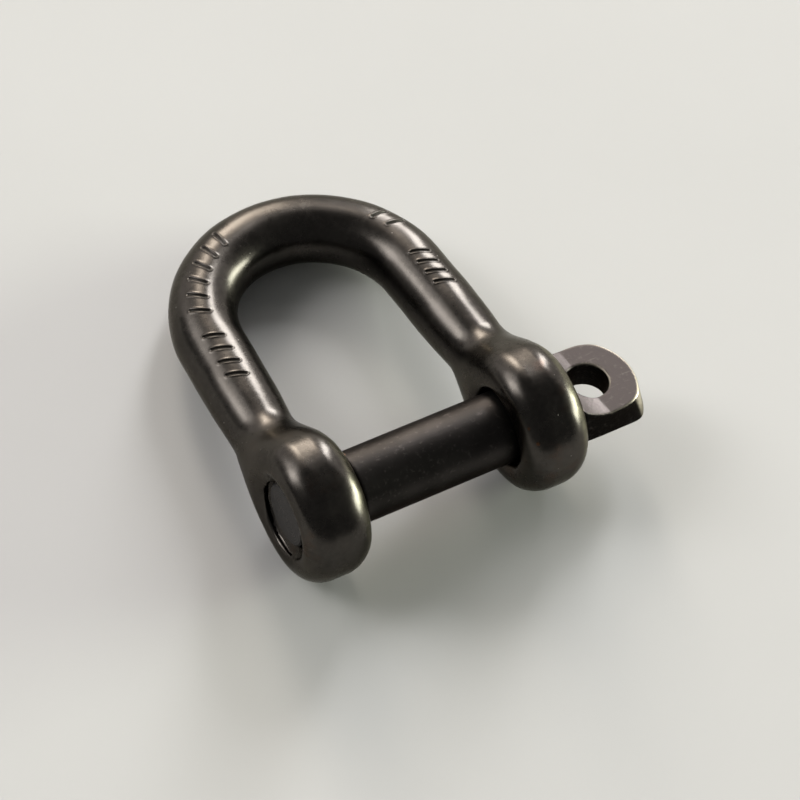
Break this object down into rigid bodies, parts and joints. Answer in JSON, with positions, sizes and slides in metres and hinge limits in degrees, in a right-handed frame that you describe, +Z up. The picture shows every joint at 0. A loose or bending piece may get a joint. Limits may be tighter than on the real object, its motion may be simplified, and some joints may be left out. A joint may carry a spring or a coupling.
{
  "type": "chain joining shackle",
  "caption": "Forged screw-pin D shackle for joining chain: a round-bar bow with an eye at each end, closed by a plain pin with a flat, drilled head.",
  "frame": {"origin": "on the pin's axis, midway between the inner faces of the two eyes", "axes": "+X along the pin towards its head, +Y across the jaw towards the crown, +Z up with the shackle lying at rest"},
  "size_m": [0.0316, 0.0339, 0.0116],
  "materials": {
    "bow_steel": "dark bronze-black satin polish over a forged surface",
    "pin_steel": "dark satin shank with a bare forged grey head"
  },
  "bodies": {
    "bow": {"bow": "bow_steel"},
    "pin": {"screw_pin": "pin_steel"}
  },
  "joints": [
    {"name": "pin_withdraw", "type": "slide", "parent": "bow", "child": "pin", "axis": [1, 0, 0], "range_m": [0, 0.028]}
  ]
}
